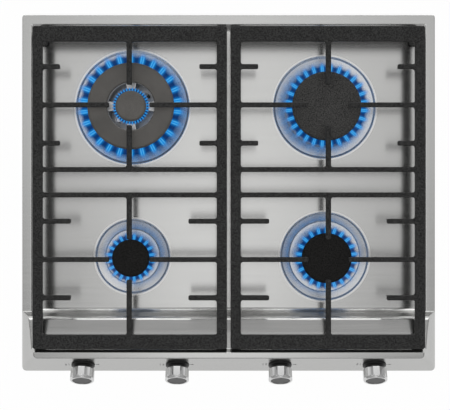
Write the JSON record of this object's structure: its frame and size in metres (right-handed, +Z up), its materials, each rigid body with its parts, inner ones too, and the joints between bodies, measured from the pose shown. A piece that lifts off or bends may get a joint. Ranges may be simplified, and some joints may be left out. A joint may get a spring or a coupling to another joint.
{
  "type": "gas cooktop",
  "caption": "Built-in gas cooktop: pressed steel top with raised front console, cast-iron grates, round burners and fluted control knobs on the fascia.",
  "frame": {"origin": "middle of the flat underside of the burner box", "axes": "+Z up, +X to the right along the wide side, -Y towards the knobs"},
  "size_m": [0.595, 0.5284, 0.099],
  "materials": {
    "panel_steel": "fine brush lines along X",
    "galvanised_steel": "galvanised sheet",
    "seal_foam": "closed-cell foam",
    "grate_iron": "matt speckled enamel",
    "foot_rubber": "moulded",
    "burner_aluminium": "die cast",
    "grey_enamel": "satin enamel",
    "black_enamel": "matt enamel",
    "electrode_ceramic": "unglazed",
    "knob_chrome": "polished, dark grey face",
    "bezel_plastic": "moulded",
    "stem_steel": "turned",
    "valve_brass": "machined",
    "pipe_aluminium": "drawn tube",
    "module_plastic": "moulded"
  },
  "bodies": {
    "root": {"top_panel": "panel_steel", "burner_box": "galvanised_steel", "flange_seal": "seal_foam", "clamp_left": "galvanised_steel", "clamp_right": "galvanised_steel", "cup_rear_left": "burner_aluminium", "cup_rear_right": "burner_aluminium", "cup_front_right": "burner_aluminium", "cup_front_left": "burner_aluminium", "electrode_rear_left": "electrode_ceramic", "electrode_rear_right": "electrode_ceramic", "electrode_front_right": "electrode_ceramic", "electrode_front_left": "electrode_ceramic", "bezel_1": "bezel_plastic", "bezel_2": "bezel_plastic", "bezel_3": "bezel_plastic", "bezel_4": "bezel_plastic", "valve_body_1": "valve_brass", "valve_body_2": "valve_brass", "valve_body_3": "valve_brass", "valve_body_4": "valve_brass", "supply_pipe_1": "pipe_aluminium", "supply_pipe_2": "pipe_aluminium", "supply_pipe_3": "pipe_aluminium", "supply_pipe_4": "pipe_aluminium", "gas_manifold": "galvanised_steel", "gas_inlet_elbow": "valve_brass", "ignition_module": "module_plastic", "cable_gland": "bezel_plastic"},
    "left_grate": {"grate_left": "grate_iron", "grate_foot_left_rear_inner": "foot_rubber", "grate_foot_left_rear_outer": "foot_rubber", "grate_foot_left_front_inner": "foot_rubber", "grate_foot_left_front_outer": "foot_rubber"},
    "right_grate": {"grate_right": "grate_iron", "grate_foot_right_rear_inner": "foot_rubber", "grate_foot_right_rear_outer": "foot_rubber", "grate_foot_right_front_inner": "foot_rubber", "grate_foot_right_front_outer": "foot_rubber"},
    "rear_left_crown": {"crown_rear_left": "burner_aluminium"},
    "rear_right_crown": {"crown_rear_right": "burner_aluminium"},
    "front_right_crown": {"crown_front_right": "burner_aluminium"},
    "front_left_crown": {"crown_front_left": "burner_aluminium"},
    "rear_left_outer_cap": {"cap_rear_left_outer": "grey_enamel"},
    "rear_left_inner_cap": {"cap_rear_left_inner": "grey_enamel"},
    "rear_right_cap": {"cap_rear_right": "black_enamel"},
    "front_right_cap": {"cap_front_right": "black_enamel"},
    "front_left_cap": {"cap_front_left": "black_enamel"},
    "tap_plug_1": {"valve_plug_1": "valve_brass"},
    "tap_plug_2": {"valve_plug_2": "valve_brass"},
    "tap_plug_3": {"valve_plug_3": "valve_brass"},
    "tap_plug_4": {"valve_plug_4": "valve_brass"},
    "tap_knob_1": {"knob_1": "knob_chrome", "valve_stem_1": "stem_steel"},
    "tap_knob_2": {"knob_2": "knob_chrome", "valve_stem_2": "stem_steel"},
    "tap_knob_3": {"knob_3": "knob_chrome", "valve_stem_3": "stem_steel"},
    "tap_knob_4": {"knob_4": "knob_chrome", "valve_stem_4": "stem_steel"}
  },
  "joints": [
    {"name": "grate_left_lift", "type": "slide", "parent": "root", "child": "left_grate", "axis": [0, 0, 1], "range_m": [0, 0.08]},
    {"name": "grate_right_lift", "type": "slide", "parent": "root", "child": "right_grate", "axis": [0, 0, 1], "range_m": [0, 0.08]},
    {"name": "crown_rear_left_lift", "type": "slide", "parent": "root", "child": "rear_left_crown", "axis": [0, 0, 1], "range_m": [0, 0.005]},
    {"name": "crown_rear_right_lift", "type": "slide", "parent": "root", "child": "rear_right_crown", "axis": [0, 0, 1], "range_m": [0, 0.005]},
    {"name": "crown_front_right_lift", "type": "slide", "parent": "root", "child": "front_right_crown", "axis": [0, 0, 1], "range_m": [0, 0.005]},
    {"name": "crown_front_left_lift", "type": "slide", "parent": "root", "child": "front_left_crown", "axis": [0, 0, 1], "range_m": [0, 0.005]},
    {"name": "cap_rear_left_outer_lift", "type": "slide", "parent": "rear_left_crown", "child": "rear_left_outer_cap", "axis": [0, 0, 1], "range_m": [0, 0.0055]},
    {"name": "cap_rear_left_inner_lift", "type": "slide", "parent": "rear_left_crown", "child": "rear_left_inner_cap", "axis": [0, 0, 1], "range_m": [0, 0.0055]},
    {"name": "cap_rear_right_lift", "type": "slide", "parent": "rear_right_crown", "child": "rear_right_cap", "axis": [0, 0, 1], "range_m": [0, 0.0055]},
    {"name": "cap_front_right_lift", "type": "slide", "parent": "front_right_crown", "child": "front_right_cap", "axis": [0, 0, 1], "range_m": [0, 0.0055]},
    {"name": "cap_front_left_lift", "type": "slide", "parent": "front_left_crown", "child": "front_left_cap", "axis": [0, 0, 1], "range_m": [0, 0.0055]},
    {"name": "tap_1_turn", "type": "hinge", "parent": "root", "child": "tap_plug_1", "pos_m": [-0.2065, -0.2435, 0.0725], "axis": [0, -0.8659, 0.5003], "range_deg": [0, 210]},
    {"name": "tap_2_turn", "type": "hinge", "parent": "root", "child": "tap_plug_2", "pos_m": [-0.0728, -0.2435, 0.0725], "axis": [0, -0.8659, 0.5003], "range_deg": [0, 210]},
    {"name": "tap_3_turn", "type": "hinge", "parent": "root", "child": "tap_plug_3", "pos_m": [0.0728, -0.2435, 0.0725], "axis": [0, -0.8659, 0.5003], "range_deg": [0, 210]},
    {"name": "tap_4_turn", "type": "hinge", "parent": "root", "child": "tap_plug_4", "pos_m": [0.2065, -0.2435, 0.0725], "axis": [0, -0.8659, 0.5003], "range_deg": [0, 210]},
    {"name": "tap_1_push", "type": "slide", "parent": "tap_plug_1", "child": "tap_knob_1", "axis": [0, 0.8659, -0.5003], "range_m": [0, 0.003], "stiffness_N_per_m": 1200, "springref_m": -0.003},
    {"name": "tap_2_push", "type": "slide", "parent": "tap_plug_2", "child": "tap_knob_2", "axis": [0, 0.8659, -0.5003], "range_m": [0, 0.003], "stiffness_N_per_m": 1200, "springref_m": -0.003},
    {"name": "tap_3_push", "type": "slide", "parent": "tap_plug_3", "child": "tap_knob_3", "axis": [0, 0.8659, -0.5003], "range_m": [0, 0.003], "stiffness_N_per_m": 1200, "springref_m": -0.003},
    {"name": "tap_4_push", "type": "slide", "parent": "tap_plug_4", "child": "tap_knob_4", "axis": [0, 0.8659, -0.5003], "range_m": [0, 0.003], "stiffness_N_per_m": 1200, "springref_m": -0.003}
  ]
}
